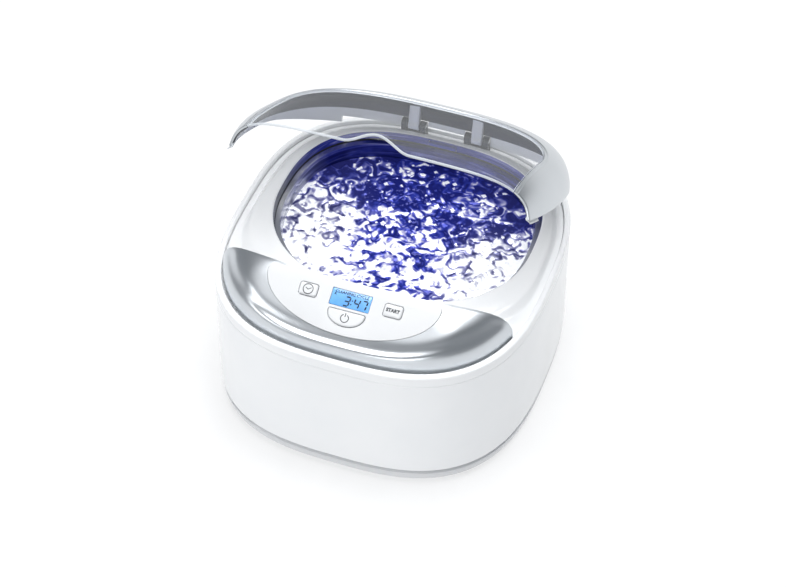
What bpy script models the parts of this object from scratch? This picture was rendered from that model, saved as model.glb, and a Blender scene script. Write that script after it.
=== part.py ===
"""Bench-top ultrasonic cleaner with a raised lid, built as separate pieces.

Lengths are written in millimetres and turned into metres when a mesh is made.
+Z is up, -Y is the front with the controls, and the feet stand on Z = 0.
"""

import math

import bmesh
import bpy
from mathutils import Matrix, Vector

MM = 0.001
GAP = 0.3                     # clearance between pieces that touch

# Body: ovals are (half width, front depth, back depth) measured from MID_Y.
MID_Y = 4.0
BODY_POWER = 2.85             # 2 is an ellipse, and more is squarer
RIM = (100.6, 108.5, 102.0)
SKIRT = (101.6, 110.0, 102.2)
WALL = 2.5
RIM_TOP = 95.6
SEAM_Z = 10.8                 # joint between the casing and the base cover
BASE_BOTTOM = 2.0
FLOOR_TOP = 5.0

# Dome shared by the console and the closed lid.
DOME = (96.3, 103.2, 98.0)
DOME_FOOT = 94.0
DOME_RISE = 29.9
DOME_SHOULDER = 6.5
DOME_ROUND = 2.25
LID_SHELL = 2.4
PANE_SHELL = 2.0

# Finger grip on the clear pane: a hood that is open to the front.
GRIP_SIZE = (18.0, 19.0, 21.0)
GRIP_Y = -62.0
GRIP_Z = 122.6
GRIP_RISE = 6.4

# Joint line between console and lid, a bowed arch across the dome.
ARCH_HALF = 93.2
ARCH_TIP_Y = -47.2
ARCH_BOW = 16.4
ARCH_BOW_POWER = 3.1

# Tank opening and deck.
TANK_Y = 23.0
TANK_POWER = 2.3
OPENING = (81.6, 69.0, 69.0)
DECK_TOP = 96.7
DECK_FLOOR = 92.8
DECK_THICK = 2.2
TANK_RIM_Z = 89.6
TANK_FLOOR_Z = 42.0
TANK_SHEET = 1.2

# Sloping control face: its upper edge passes through this point.
FACE_TILT = math.radians(30.0)
FACE_Y = -63.5
FACE_Z = 123.0
FACE = Matrix.Translation((0, FACE_Y * MM, FACE_Z * MM)) @ Matrix.Rotation(FACE_TILT, 4, "X")
FACE_HALF_X = 53.2
FACE_DROP = 32.0
LCD_SIZE = (24.5, 10.3)
LCD_V = -11.4
KEY_SIZE = (11.0, 7.5)
KEY_X = 26.0
KEY_V = -11.5
POWER_SIZE = (22.4, 9.0)
POWER_V = -18.4

# Lid hinge. The lid rests open by LID_REST.
HINGE_Y = 98.0
HINGE_Z = 100.5
LID_REST = math.radians(30.0)
ARM_X = 21.0
ARM_WIDTH = 7.0
PIN_RADIUS = 1.5
OPEN_LID = (
    Matrix.Translation((0, HINGE_Y * MM, HINGE_Z * MM))
    @ Matrix.Rotation(-LID_REST, 4, "X")
    @ Matrix.Translation((0, -HINGE_Y * MM, -HINGE_Z * MM))
)

# Electrics.
INLET_X = -42.0
INLET_Z = 27.0
BOARD_Z = 17.0
TRANSDUCER_Y = TANK_Y


# ---------------------------------------------------------------- scene set-up

for old in list(bpy.data.objects):
    bpy.data.objects.remove(old)

PARTS = bpy.data.collections.new("ultrasonic_cleaner")
CUTTERS = bpy.data.collections.new("cutters")
CUTTERS.hide_render = True
for collection in (PARTS, CUTTERS):
    bpy.context.scene.collection.children.link(collection)


def material(name, colour, roughness, metallic=0.0, alpha=1.0):
    made = bpy.data.materials.new(name)
    made.use_nodes = True
    shader = made.node_tree.nodes["Principled BSDF"]
    shader.inputs["Base Color"].default_value = (*colour, 1.0)
    shader.inputs["Roughness"].default_value = roughness
    shader.inputs["Metallic"].default_value = metallic
    shader.inputs["Alpha"].default_value = alpha
    return made


WHITE = material("white_plastic", (0.86, 0.88, 0.90), 0.25)
SILVER = material("silver_plastic", (0.60, 0.63, 0.66), 0.28, 0.8)
LID_SILVER = material("lid_plastic", (0.72, 0.75, 0.78), 0.25, 0.4)
CLEAR = material("clear_plastic", (0.80, 0.88, 0.92), 0.05, 0.0, 0.35)
STEEL = material("stainless_steel", (0.62, 0.64, 0.66), 0.22, 1.0)
BLACK_RUBBER = material("black_rubber", (0.03, 0.03, 0.035), 0.7)
GREY_RUBBER = material("grey_rubber", (0.25, 0.26, 0.27), 0.75)
DISPLAY = material("display_glass", (0.25, 0.55, 0.85), 0.1)
BOARD_GREEN = material("board_green", (0.03, 0.22, 0.10), 0.45)
BLACK_PLASTIC = material("black_plastic", (0.03, 0.03, 0.03), 0.4)
CERAMIC = material("ceramic", (0.75, 0.70, 0.60), 0.5)
BRASS = material("brass", (0.78, 0.58, 0.25), 0.3, 1.0)
ALUMINIUM = material("aluminium", (0.75, 0.76, 0.78), 0.35, 1.0)
COPPER = material("copper_winding", (0.55, 0.25, 0.08), 0.4, 0.6)
BLUE_LIGHT = material("blue_lamp", (0.15, 0.25, 0.95), 0.2)
WIRE_RED = material("wire_red", (0.55, 0.03, 0.03), 0.5)
WIRE_GREY = material("wire_grey", (0.35, 0.36, 0.38), 0.5)


# -------------------------------------------------------------- shape functions

def add(name, shape, look, matrix=None, cutter=False):
    """Turns a bmesh in millimetres into an object in metres."""
    bmesh.ops.recalc_face_normals(shape, faces=shape.faces)
    bmesh.ops.scale(shape, vec=(MM, MM, MM), verts=shape.verts)
    mesh = bpy.data.meshes.new(name)
    shape.to_mesh(mesh)
    shape.free()
    made = bpy.data.objects.new(name, mesh)
    if matrix is not None:
        made.matrix_world = matrix
    (CUTTERS if cutter else PARTS).objects.link(made)
    if cutter:
        made.hide_render = True
        made.display_type = "WIRE"
    else:
        mesh.materials.append(look)
        mesh.shade_smooth()
        mesh.set_sharp_from_angle(angle=math.radians(35))
    return made


def oval(size, power, centre_y, z, count):
    """Ring of a rounded square: (half width, front depth, back depth) about centre_y."""
    ring = []
    for i in range(count):
        turn = 2 * math.pi * i / count
        c, s = math.cos(turn), math.sin(turn)
        depth = size[2] if s > 0 else size[1]
        reach = (abs(c / size[0]) ** power + abs(s / depth) ** power) ** (-1 / power)
        ring.append(Vector((reach * c, centre_y + reach * s, z)))
    return ring


def grown(size, by):
    return tuple(side + by for side in size)


def loft(rings, loop=False):
    """Skin through rings of equal count: capped at both ends, or joined end to end."""
    shape = bmesh.new()
    rows = [[shape.verts.new(point) for point in ring] for ring in rings]
    pairs = list(zip(rows, rows[1:])) + ([(rows[-1], rows[0])] if loop else [])
    for low, high in pairs:
        for i in range(len(low)):
            j = (i + 1) % len(low)
            shape.faces.new((low[i], low[j], high[j], high[i]))
    if not loop:
        shape.faces.new(rows[0])
        shape.faces.new(rows[-1])
    return shape


def prism(outline, low, high):
    """Flat outline of (x, y) points, extruded between two heights."""
    return loft([[Vector((x, y, z)) for x, y in outline] for z in (low, high)])


def block(low, high):
    shape = bmesh.new()
    bmesh.ops.create_cube(shape, size=1.0)
    size = Vector(high) - Vector(low)
    bmesh.ops.scale(shape, vec=size, verts=shape.verts)
    bmesh.ops.translate(shape, vec=(Vector(high) + Vector(low)) / 2, verts=shape.verts)
    return shape


def rod(radius, start, end, sides=20, top_radius=None):
    """Cylinder or cone between two points."""
    shape = bmesh.new()
    start, end = Vector(start), Vector(end)
    along = end - start
    turn = along.to_track_quat("Z", "Y").to_matrix().to_4x4()
    bmesh.ops.create_cone(
        shape, cap_ends=True, segments=sides, radius1=radius,
        radius2=radius if top_radius is None else top_radius, depth=along.length,
        matrix=Matrix.Translation((start + end) / 2) @ turn,
    )
    return shape


def boolean(target, other, operation):
    change = target.modifiers.new(other.name, "BOOLEAN")
    change.operation = operation
    change.object = other


def cut(target, name, shape, matrix=None):
    boolean(target, add(name, shape, None, matrix, cutter=True), "DIFFERENCE")


def join(target, name, shape, matrix=None):
    boolean(target, add(name, shape, None, matrix, cutter=True), "UNION")


def keep(target, name, shape, matrix=None):
    boolean(target, add(name, shape, None, matrix, cutter=True), "INTERSECT")


def bevel(target, width, segments=2):
    change = target.modifiers.new("rounded", "BEVEL")
    change.width = width * MM
    change.segments = segments
    change.limit_method = "ANGLE"
    change.angle_limit = math.radians(40)


def turned(name, profile, look, matrix, steps=24):
    """Solid of revolution about Z: (radius, height) points down its outer side."""
    mesh = bpy.data.meshes.new(name)
    made = bpy.data.objects.new(name, mesh)
    shape = bmesh.new()
    points = [shape.verts.new((radius * MM, 0, height * MM)) for radius, height in profile]
    for first, second in zip(points, points[1:]):
        shape.edges.new((first, second))
    if profile[0][0] > 0:
        shape.edges.new((points[-1], points[0]))
    shape.to_mesh(mesh)
    shape.free()
    mesh.materials.append(look)
    made.matrix_world = matrix
    PARTS.objects.link(made)
    screw = made.modifiers.new("turn", "SCREW")
    screw.angle = 2 * math.pi
    screw.steps = steps
    screw.render_steps = steps
    screw.use_merge_vertices = True
    screw.merge_threshold = 0.00005
    return made


def wire(name, route, radius, look):
    """Bundle or lead along points joined by straight runs with a smooth look."""
    curve = bpy.data.curves.new(name, "CURVE")
    curve.dimensions = "3D"
    curve.bevel_depth = radius * MM
    curve.bevel_resolution = 1
    curve.use_fill_caps = True
    spline = curve.splines.new("POLY")
    spline.points.add(len(route) - 1)
    for point, place in zip(spline.points, route):
        point.co = (*(coordinate * MM for coordinate in place), 1.0)
    curve.materials.append(look)
    made = bpy.data.objects.new(name, curve)
    PARTS.objects.link(made)
    return made


def bent(corners, steps=5):
    """Smooth route through corners, by Catmull-Rom interpolation."""
    points = [Vector(corner) for corner in corners]
    points = [2 * points[0] - points[1], *points, 2 * points[-1] - points[-2]]
    route = []
    for a, b, c, d in zip(points, points[1:], points[2:], points[3:]):
        for i in range(steps):
            t = i / steps
            route.append(
                0.5 * (2 * b + (c - a) * t + (2 * a - 5 * b + 4 * c - d) * t * t
                       + (3 * b - 3 * c + d - a) * t ** 3)
            )
    return route + [points[-2]]


def at(x, y, z):
    return Matrix.Translation((x * MM, y * MM, z * MM))


# ------------------------------------------------------------ dome and arch forms

def dome_reach(x, y):
    """0 at the middle of the dome's plan and 1 on its outline."""
    depth = DOME[2] if y > MID_Y else DOME[1]
    return (
        abs(x / DOME[0]) ** BODY_POWER + abs((y - MID_Y) / depth) ** BODY_POWER
    ) ** (1 / BODY_POWER)


def dome_height(x, y):
    reach = min(1.0, dome_reach(x, y))
    return DOME_FOOT + DOME_RISE * (1 - reach ** DOME_SHOULDER) ** (1 / DOME_ROUND)


def arch_y(x):
    across = min(1.0, abs(x) / ARCH_HALF)
    return ARCH_TIP_Y - ARCH_BOW * (1 - across ** ARCH_BOW_POWER)


def face_height(y):
    return FACE_Z + (y - FACE_Y) * math.tan(FACE_TILT)


def console_height(x, y):
    """The dome cut by the sloping face, with a rounded meeting line."""
    dome, face = dome_height(x, y), face_height(y)
    soft = 2.4
    blend = max(0.0, soft - abs(dome - face)) / soft
    return min(dome, face) - blend * blend * soft / 4


def dome_rings(size, rise, foot, levels, count):
    """Rings of the dome from its foot to near its top."""
    rings = []
    for level in levels:
        reach = (1 - level ** DOME_ROUND) ** (1 / DOME_SHOULDER)
        ring_size = tuple(side * reach for side in size)
        rings.append(oval(ring_size, BODY_POWER, MID_Y, foot + rise * level, count))
    return rings


def body_ring(size, z, count=60):
    return oval(size, BODY_POWER, MID_Y, z, count)


def tank_ring(half_x, half_y, z, count=48):
    return oval((half_x, half_y, half_y), TANK_POWER, TANK_Y, z, count)


# -------------------------------------------------------------- casing and base

POSTS = ((-74.0, -79.5), (74.0, -79.5), (-74.0, 82.0), (74.0, 82.0))
FEET = ((-64.0, -62.0), (64.0, -62.0), (-64.0, 66.0), (64.0, 66.0))
CORNERS = ("front_left", "front_right", "rear_left", "rear_right")


def outer_casing():
    inner_edge = grown(DOME, 0.6)
    rings = [
        body_ring(grown(SKIRT, -0.5), SEAM_Z + GAP),
        body_ring(SKIRT, SEAM_Z + 1.6),
        body_ring(RIM, 90.6),
        body_ring(grown(RIM, -0.7), 93.4),
        body_ring(grown(RIM, -1.9), 94.9),
        body_ring(grown(RIM, -3.2), RIM_TOP),
        body_ring(inner_edge, RIM_TOP - 0.2),
        body_ring(inner_edge, 92.6),
        body_ring(grown(RIM, -WALL), 92.2),
        body_ring(grown(SKIRT, -WALL), SEAM_Z + GAP),
    ]
    casing = add("outer_casing", loft(rings, loop=True), WHITE)
    for name, (x, y) in zip(CORNERS, POSTS):
        join(casing, "post_" + name, rod(4.2, (x, y, 11.2), (x, y, 36.0), 16))
    for name, (x, y) in zip(CORNERS, POSTS):
        cut(casing, "post_bore_" + name, rod(1.6, (x, y, 5.0), (x, y, 28.0), 12))
    low = (INLET_X - 12.3, 90.0, INLET_Z - 8.3)
    high = (INLET_X + 12.3, 120.0, INLET_Z + 8.3)
    cut(casing, "inlet_hole", block(low, high))


def base_cover():
    rings = [
        body_ring(grown(SKIRT, -3.4), BASE_BOTTOM),
        body_ring(grown(SKIRT, -1.3), 2.8),
        body_ring(grown(SKIRT, -0.6), 4.6),
        body_ring(grown(SKIRT, -0.2), SEAM_Z),
        body_ring(grown(SKIRT, -2.4), SEAM_Z),
        body_ring(grown(SKIRT, -3.2), FLOOR_TOP),
    ]
    base = add("base_cover", loft(rings), WHITE)
    for x in (-48.0, 48.0):
        for y in (-89.0, -63.0):
            post = rod(3.0, (x, y, FLOOR_TOP - 0.5), (x, y, BOARD_Z - GAP), 12)
            join(base, f"board_post_{x:.0f}_{y:.0f}", post)
    for name, (x, y) in zip(CORNERS, FEET):
        cut(base, "foot_recess_" + name, rod(8.3, (x, y, 0.0), (x, y, 3.4), 24))
    for name, (x, y) in zip(CORNERS, POSTS):
        cut(base, "screw_recess_" + name, rod(3.4, (x, y, 0.0), (x, y, 3.9), 16))
        cut(base, "screw_hole_" + name, rod(1.7, (x, y, 0.0), (x, y, 9.0), 12))


def feet_and_screws():
    foot = [(0, 3.1), (7.6, 3.1), (8.0, 2.6), (7.4, 0.4), (6.8, 0), (0, 0)]
    screw = [(0, 20), (0.9, 20), (1.3, 18.6), (1.3, 1.4), (3.0, 1.3), (3.0, 0.5), (2.2, 0), (0, 0)]
    for name, (x, y) in zip(CORNERS, FEET):
        turned("foot_" + name, foot, GREY_RUBBER, at(x, y, 0), 20)
    for name, (x, y) in zip(CORNERS, POSTS):
        turned("base_screw_" + name, screw, STEEL, at(x, y, 2.4), 12)


# --------------------------------------------------------------------- top deck

def bracket_span(side, margin):
    """x range of one hinge bracket, from its inner ear to its outer ear."""
    half = ARM_WIDTH / 2 + 4.5 + margin
    return side * ARM_X - half, side * ARM_X + half


def top_deck():
    def opening(by, z):
        return tank_ring(OPENING[0] + by, OPENING[1] + by, z, 60)

    slope_foot = (93.3, 65.0, 95.4)
    rings = [
        opening(-1.0, 90.9),
        opening(-0.4, 95.6),
        opening(0.5, DECK_TOP),
        oval((88.6, 72.0, 71.2), TANK_POWER + 0.2, TANK_Y, DECK_TOP + 0.2, 60),
        oval((89.8, 73.2, 72.0), TANK_POWER + 0.2, TANK_Y, DECK_TOP - 0.3, 60),
        oval(slope_foot, BODY_POWER, MID_Y, DECK_FLOOR, 60),
        body_ring(grown(DOME, 0.2), DECK_FLOOR),
        body_ring(grown(DOME, 0.2), 91.9),
        body_ring(grown(RIM, -WALL - 0.5), 91.7),
        body_ring(grown(RIM, -WALL - 0.5), 89.8),
        oval(grown(slope_foot, -1.2), BODY_POWER, MID_Y, 90.2, 60),
        oval((88.2, 71.6, 70.9), TANK_POWER + 0.2, TANK_Y, DECK_TOP - DECK_THICK, 60),
        opening(1.4, 93.6),
        opening(1.2, 90.9),
    ]
    deck = add("top_deck", loft(rings, loop=True), WHITE)
    for side in (-1, 1):
        low, high = bracket_span(side, GAP)
        cut(deck, f"bracket_slot_{side}", block((low, 94.7, 80.0), (high, 101.2, 105.0)))
    cut(deck, "cable_slot", block((-12.0, -88.0, 85.0), (12.0, -74.0, 95.0)))
    cut(deck, "lamp_slot", block((-9.3, 88.0, 91.4), (9.3, 94.0, 95.0)))


def lamp():
    lens = add("lamp_lens", block((-9.0, 91.0, 91.7), (9.0, 93.6, 94.2)), BLUE_LIGHT)
    bevel(lens, 0.4)
    add("lamp_board", block((-10.0, 94.2, 84.0), (10.0, 95.4, 92.6)), BOARD_GREEN)


# ------------------------------------------------------------ console and panel

def console_outline_y(x):
    """Front edge of the console at x, on the dome's outline."""
    side = min(1.0, abs(x) / DOME[0])
    return MID_Y - DOME[1] * (1 - side ** BODY_POWER) ** (1 / BODY_POWER)


def face_outline(margin, points=18):
    """D shape of the control plate: straight top with round corners, elliptical bottom."""
    half, top, corner = FACE_HALF_X + margin, -0.8 + margin, 3.6
    drop = FACE_DROP + 2 * margin - corner
    outline = []
    for i in range(points + 1):
        turn = math.pi * i / points
        outline.append((-half * math.cos(turn), top - corner - drop * math.sin(turn)))
    for centre, start in ((half - corner, 0.0), (corner - half, math.pi / 2)):
        for i in range(1, 5):
            turn = start + math.pi / 2 * i / 4
            across, up = corner * math.cos(turn), corner * math.sin(turn)
            outline.append((centre + across, top - corner + up))
    return outline[:-1]


def half_moon(margin, points=14):
    half, top = POWER_SIZE[0] / 2 + margin, POWER_V + margin
    drop = POWER_SIZE[1] + 2 * margin
    turns = [math.pi * i / points for i in range(points + 1)]
    return [(-half * math.cos(turn), top - drop * math.sin(turn) ** 0.9) for turn in turns]


def key_outline(x, margin):
    half_x, half_v = KEY_SIZE[0] / 2 + margin, KEY_SIZE[1] / 2 + margin
    corner = 1.4 + margin
    outline = []
    for quarter, (sx, sv) in enumerate(((1, 1), (-1, 1), (-1, -1), (1, -1))):
        for i in range(4):
            turn = math.pi / 2 * (quarter + i / 3)
            outline.append((
                x + sx * (half_x - corner) + corner * math.cos(turn),
                KEY_V + sv * (half_v - corner) + corner * math.sin(turn),
            ))
    return outline


KEYS = {
    "timer": (lambda margin: key_outline(-KEY_X, margin), (-KEY_X, KEY_V)),
    "start": (lambda margin: key_outline(KEY_X, margin), (KEY_X, KEY_V)),
    "power": (half_moon, (0.0, -22.6)),
}


def lcd_block(margin, low, high):
    half_x, half_v = LCD_SIZE[0] / 2 + margin, LCD_SIZE[1] / 2 + margin
    return block((-half_x, LCD_V - half_v, low), (half_x, LCD_V + half_v, high))


def console_panel():
    columns, rows, end = 14, 10, 90.0
    sections = []
    for i in range(-columns, columns + 1):
        x = end * math.sin(math.pi / 2 * i / columns)
        rear, front = arch_y(x) - GAP, console_outline_y(x)
        section = [Vector((x, rear, DECK_FLOOR + GAP))]
        for j in range(rows + 1):
            y = rear + (front - rear) * (1 - (1 - j / rows) ** 1.9)
            section.append(Vector((x, y, max(console_height(x, y), DOME_FOOT))))
        section.append(Vector((x, front, DECK_FLOOR + GAP)))
        sections.append(section)
    console = add("console_panel", loft(sections), SILVER)
    hollow = [(-66.3, 117.6), (-89.0, 104.5), (-91.0, 99.0), (-91.0, 90.0), (-66.3, 90.0)]
    rings = [[Vector((x, y, z)) for y, z in hollow] for x in (-50.0, 50.0)]
    cut(console, "console_hollow", loft(rings))
    cut(console, "plate_pocket", prism(face_outline(GAP), -1.5, 9.0), FACE)
    cut(console, "lcd_hole", lcd_block(0.1, -7.0, 3.0), FACE)
    for name, (outline, _) in KEYS.items():
        cut(console, name + "_hole", prism(outline(GAP), -6.0, 3.0), FACE)


def control_plate():
    plate = add("control_plate", prism(face_outline(0.0), -1.2, 0.3), WHITE, FACE)
    cut(plate, "plate_lcd_hole", lcd_block(0.0, -3.0, 3.0), FACE)
    for name, (outline, _) in KEYS.items():
        cut(plate, name + "_plate_hole", prism(outline(GAP), -3.0, 3.0), FACE)


def controls():
    window = add("display_window", lcd_block(-GAP, -0.9, 0.15), DISPLAY, FACE)
    bevel(window, 0.15, 1)
    add("lcd_module", lcd_block(-GAP, -5.4, -1.3), BLACK_PLASTIC, FACE)
    add("control_board", block((-44.0, -30.0, -11.0), (44.0, -10.1, -9.4)), BOARD_GREEN, FACE)
    for name, (outline, (x, v)) in KEYS.items():
        place = FACE @ at(x, v, 0)
        back = Matrix.Translation((-x * MM, -v * MM, 0))
        cap = prism(outline(0.0), -3.6, 1.1)
        bmesh.ops.translate(cap, vec=(-x, -v, 0), verts=cap.verts)
        button = add(name + "_button", cap, WHITE, place)
        flange = prism(outline(1.0), -4.2, -3.4)
        join(button, name + "_flange", flange, place @ back)
        join(button, name + "_stem", rod(1.5, (0, 0, -5.0), (0, 0, -4.0), 12), place)
        low, high = (x - 2.5, v - 2.5, -9.1), (x + 2.5, v + 2.5, -6.1)
        add("tact_switch_" + name, block(low, high), BLACK_PLASTIC, FACE)


# ------------------------------------------------------------------------- tank

def tank():
    rings = [
        tank_ring(64.0, 52.0, TANK_FLOOR_Z - TANK_SHEET),
        tank_ring(71.0, 59.0, 42.3),
        tank_ring(74.2, 61.9, 46.5),
        tank_ring(76.2, 63.8, 56.0),
        tank_ring(78.5, 65.9, 87.4),
        tank_ring(83.0, 70.4, TANK_RIM_Z - TANK_SHEET),
        tank_ring(83.0, 70.4, TANK_RIM_Z),
        tank_ring(78.0, 65.4, TANK_RIM_Z),
        tank_ring(77.3, 64.7, 88.2),
        tank_ring(75.0, 62.6, 56.0),
        tank_ring(73.0, 60.7, 47.0),
        tank_ring(70.0, 58.0, 43.3),
        tank_ring(64.0, 52.0, TANK_FLOOR_Z),
    ]
    add("tank", loft(rings), STEEL)
    seal = [(82.6, 70.0, 89.9), (82.6, 70.0, 90.6), (80.2, 67.6, 90.6),
            (80.2, 67.6, 91.6), (78.3, 65.7, 91.6), (78.3, 65.7, 89.9)]
    add("tank_gasket", loft([tank_ring(*ring, 36) for ring in seal], loop=True), BLACK_RUBBER)


def transducer():
    place = at(0, TRANSDUCER_Y, 0)
    bore = 3.4
    front = [(0, 40.5), (21, 40.5), (21, 36.5), (15.5, 30.5), (15.5, 28.6), (0, 28.6)]
    turned("transducer_front_mass", front, ALUMINIUM, place)
    rings = (
        ("piezo_ring_upper", 15.0, 28.3, 24.6, CERAMIC),
        ("electrode", 15.6, 24.3, 23.8, BRASS),
        ("piezo_ring_lower", 15.0, 23.5, 19.8, CERAMIC),
        ("transducer_back_mass", 15.0, 19.5, 10.4, STEEL),
    )
    for name, radius, top, bottom, look in rings:
        profile = [(bore, top), (radius, top), (radius, bottom), (bore, bottom)]
        turned(name, profile, look, place)
    bolt = [(0, 28.3), (3.0, 28.3), (3.0, 10.1), (5.2, 10.1), (5.2, 6.6), (0, 6.6)]
    turned("transducer_bolt", bolt, STEEL, place, 18)


# --------------------------------------------------------------- power supply

def power_supply():
    top = BOARD_Z + 1.6
    add("power_board", block((-55.0, -93.0, BOARD_Z), (55.0, -59.0, top)), BOARD_GREEN)
    low = top + GAP
    core = add("transformer_core", block((-42.0, -83.0, low), (-14.0, -71.0, low + 22.0)), ALUMINIUM)
    cut(core, "core_window", block((-36.3, -90.0, low + 4.7), (-19.7, -60.0, low + 17.3)))
    winding = block((-36.0, -87.0, low + 5.0), (-20.0, -67.0, low + 17.0))
    bevel(add("transformer_winding", winding, COPPER), 1.5)
    can = [(0, 21), (5.2, 21), (6, 20.2), (6, 0), (0, 0)]
    turned("capacitor", can, BLACK_PLASTIC, at(2.0, -77.0, low), 20)
    sink = add("heat_sink", block((20.0, -86.0, low), (44.0, -74.0, low + 24.0)), ALUMINIUM)
    for i in range(4):
        x = 23.0 + 5.0 * i
        cut(sink, f"fin_gap_{i}", block((x, -95.0, low + 3.0), (x + 3.0, -77.5, low + 30.0)))
    add("power_transistor", block((27.0, -73.7, low), (37.0, -69.5, low + 16.0)), BLACK_PLASTIC)


def mains_inlet():
    body = block((INLET_X - 12.0, 84.0, INLET_Z - 8.0), (INLET_X + 12.0, 104.8, INLET_Z + 8.0))
    inlet = add("mains_inlet", body, BLACK_PLASTIC)
    for side in (-1, 1):
        centre = INLET_X + side * 4.3
        bore = rod(4.4, (centre, 94.0, INLET_Z), (centre, 110.0, INLET_Z), 20)
        cut(inlet, f"socket_{side}", bore)
    low, high = (INLET_X - 4.3, 94.0, INLET_Z - 4.4), (INLET_X + 4.3, 110.0, INLET_Z + 4.4)
    cut(inlet, "socket_web", block(low, high))
    for side, name in ((-1, "left"), (1, "right")):
        centre = INLET_X + side * 4.3
        pin_bore = rod(1.5, (centre, 80.0, INLET_Z), (centre, 96.0, INLET_Z), 12)
        cut(inlet, f"pin_bore_{side}", pin_bore)
        pin = rod(1.2, (centre, 81.0, INLET_Z), (centre, 102.0, INLET_Z), 12)
        add("inlet_pin_" + name, pin, BRASS)


def wiring():
    mains = bent([
        (INLET_X, 81.8, INLET_Z - 4), (-56, 74, 14), (-68, 30, 9),
        (-66, -30, 9), (-52, -54, 12), (-50, -57, 20),
    ])
    wire("mains_leads", mains, 1.6, WIRE_GREY)
    drive = bent([
        (17.5, TRANSDUCER_Y, 24), (30, 16, 16), (36, -20, 9), (34, -48, 11), (32, -57, 20),
    ])
    wire("transducer_leads", drive, 1.2, WIRE_RED)
    ribbon = bent([(0, -77, 98), (0, -81, 88), (4, -70, 60), (6, -64, 34), (8, -66, 21)])
    wire("display_cable", ribbon, 1.5, WIRE_GREY)


# ---------------------------------------------------------------- hinge and lid

def hinge_rod(radius, left, right):
    """Rod along the lid's axis, between two x positions."""
    return rod(radius, (left, HINGE_Y, HINGE_Z), (right, HINGE_Y, HINGE_Z), 20)


def hinge_brackets():
    for side, name in ((-1, "left"), (1, "right")):
        low, high = bracket_span(side, 0.0)
        post = block((low, 95.0, 85.0), (high, 100.8, HINGE_Z))
        bracket = add("hinge_bracket_" + name, post, BLACK_PLASTIC)
        join(bracket, f"ears_{side}", hinge_rod(3.2, low, high))
        plate = block((low - 2.5, 94.2, 84.0), (high + 2.5, 101.5, 87.6))
        join(bracket, f"bracket_foot_{side}", plate)
        slot = ARM_WIDTH / 2 + 0.5
        centre = side * ARM_X
        gap = block((centre - slot, 90.0, 95.6), (centre + slot, 106.0, 110.0))
        cut(bracket, f"arm_slot_{side}", gap)
        cut(bracket, f"pin_hole_{side}", hinge_rod(PIN_RADIUS + 0.15, low - 5, high + 5))
        add("hinge_pin_" + name, hinge_rod(PIN_RADIUS, low + 0.2, high - 0.2), STEEL)


def window_outline(margin):
    """Plan of the clear pane: straight sides to the front and a round back."""
    half, back = 81.0 + margin, 60.0 + margin
    outline = [(-half, -90.0), (half, -90.0)]
    for i in range(25):
        turn = math.pi * i / 24
        c, s = math.cos(turn), math.sin(turn)
        reach = (abs(c / half) ** 2.6 + abs(s / back) ** 2.6) ** (-1 / 2.6)
        outline.append((reach * c, MID_Y + reach * s))
    return outline


def front_of_arch():
    xs = [ARCH_HALF * (i / 10 - 1) for i in range(21)]
    edge = [(x, arch_y(x) + GAP) for x in xs]
    ends = [(140.0, ARCH_TIP_Y + GAP), (140.0, -150.0), (-140.0, -150.0)]
    return [(-140.0, ARCH_TIP_Y + GAP), *edge, *ends]


def dome_shell(thickness, count):
    levels = (0.0, 0.14, 0.32, 0.5, 0.66, 0.8, 0.9, 0.965, 0.9995)
    inner = dome_rings(grown(DOME, -thickness), DOME_RISE - thickness, DOME_FOOT, levels[::-1], count)
    outer = dome_rings(DOME, DOME_RISE, DOME_FOOT, levels, count)
    hem = [body_ring(grown(DOME, by), DECK_FLOOR + 0.6, count) for by in (-thickness, 0.0)]
    return loft(inner + hem + outer)


def grip(margin, foot):
    """Hood of the finger grip at the middle of the lid's front edge."""
    rings = [oval(grown(GRIP_SIZE, margin), 2.0, GRIP_Y, foot, 28)]
    for i in range(6):
        turn = math.pi / 2 * i / 6
        size = tuple(side * math.cos(turn) for side in grown(GRIP_SIZE, margin))
        rings.append(oval(size, 2.0, GRIP_Y, GRIP_Z + (GRIP_RISE + margin) * math.sin(turn), 28))
    return loft(rings)


def lid():
    pane = add("lid_window", dome_shell(PANE_SHELL, 56), CLEAR, OPEN_LID)
    join(pane, "grip_hood", grip(0.0, GRIP_Z - 1.2), OPEN_LID)
    cut(pane, "grip_hollow", grip(-PANE_SHELL, GRIP_Z - 6.0), OPEN_LID)
    cut(pane, "pane_front_cut", prism(front_of_arch(), 60.0, 160.0), OPEN_LID)
    keep(pane, "pane_outline", prism(window_outline(-GAP), 104.0, 160.0), OPEN_LID)
    frame = add("lid_frame", dome_shell(LID_SHELL, 56), LID_SILVER, OPEN_LID)
    cut(frame, "lid_front_cut", prism(front_of_arch(), 60.0, 160.0), OPEN_LID)
    cut(frame, "lid_window_cut", prism(window_outline(0.0), 104.0, 160.0), OPEN_LID)
    cut(frame, "hinge_notch", block((-31.0, 90.0, 80.0), (31.0, 110.0, 104.3)), OPEN_LID)
    cut(frame, "rear_hem_cut", block((-66.0, 84.0, 80.0), (66.0, 110.0, 97.6)), OPEN_LID)
    for side in (-1, 1):
        left, right = side * ARM_X - ARM_WIDTH / 2, side * ARM_X + ARM_WIDTH / 2
        join(frame, f"arm_{side}", block((left, 93.6, 98.5), (right, 97.2, 110.5)), OPEN_LID)
        join(frame, f"knuckle_{side}", hinge_rod(3.6, left, right), OPEN_LID)
        bore = hinge_rod(PIN_RADIUS + 0.15, left - 5, right + 5)
        cut(frame, f"arm_bore_{side}", bore, OPEN_LID)


outer_casing()
base_cover()
feet_and_screws()
top_deck()
lamp()
console_panel()
control_plate()
controls()
tank()
transducer()
power_supply()
mains_inlet()
wiring()
hinge_brackets()
lid()
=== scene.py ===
import math

import bmesh
import bpy
import numpy as np
from mathutils import Matrix, Vector, noise


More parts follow.
